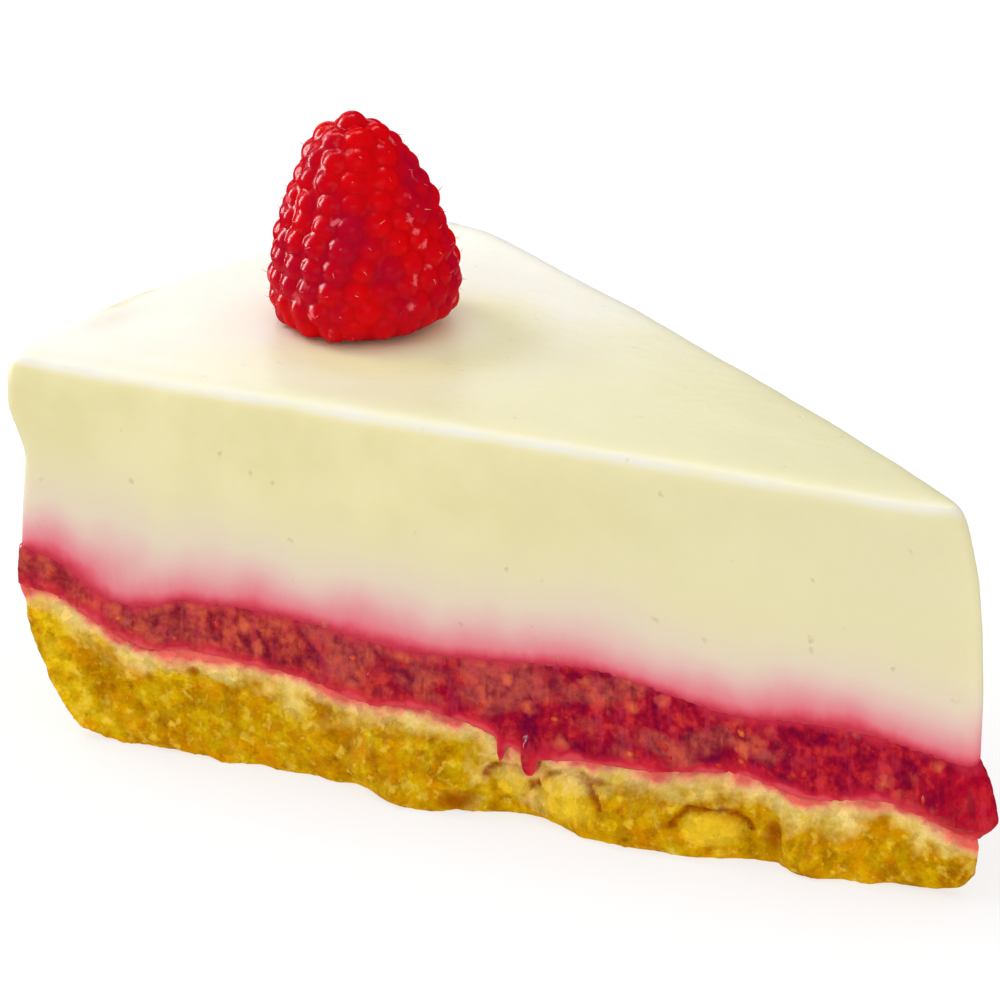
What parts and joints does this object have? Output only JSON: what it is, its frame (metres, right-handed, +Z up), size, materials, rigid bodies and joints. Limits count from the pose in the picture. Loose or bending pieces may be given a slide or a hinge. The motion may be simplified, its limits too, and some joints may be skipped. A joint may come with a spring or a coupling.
{
  "type": "raspberry cheesecake slice",
  "caption": "Wedge slice of chilled cheesecake: a crumb base, a layer of raspberry filling and a thick set cream, with a whole raspberry standing on top near the rim.",
  "frame": {"origin": "middle of the slice's box, on the surface that the slice stands on", "axes": "+X towards the slice's pointed tip, +Z up; the near cut faces -Y and the far cut +Y"},
  "size_m": [0.1128, 0.0682, 0.0651],
  "materials": {
    "biscuit_base": "pressed golden biscuit crumbs, rough and slightly buttery",
    "raspberry_filling": "moist crimson fruit filling with pale seeds",
    "cheesecake_cream": "smooth set cream, pale ivory, stained pink just above the filling",
    "raspberry": "fresh red raspberry, softly glossy with fine hairs"
  },
  "bodies": {
    "root": {"biscuit_base": "biscuit_base", "raspberry_filling": "raspberry_filling", "cheesecake_cream": "cheesecake_cream", "raspberry": "raspberry"}
  },
  "joints": []
}
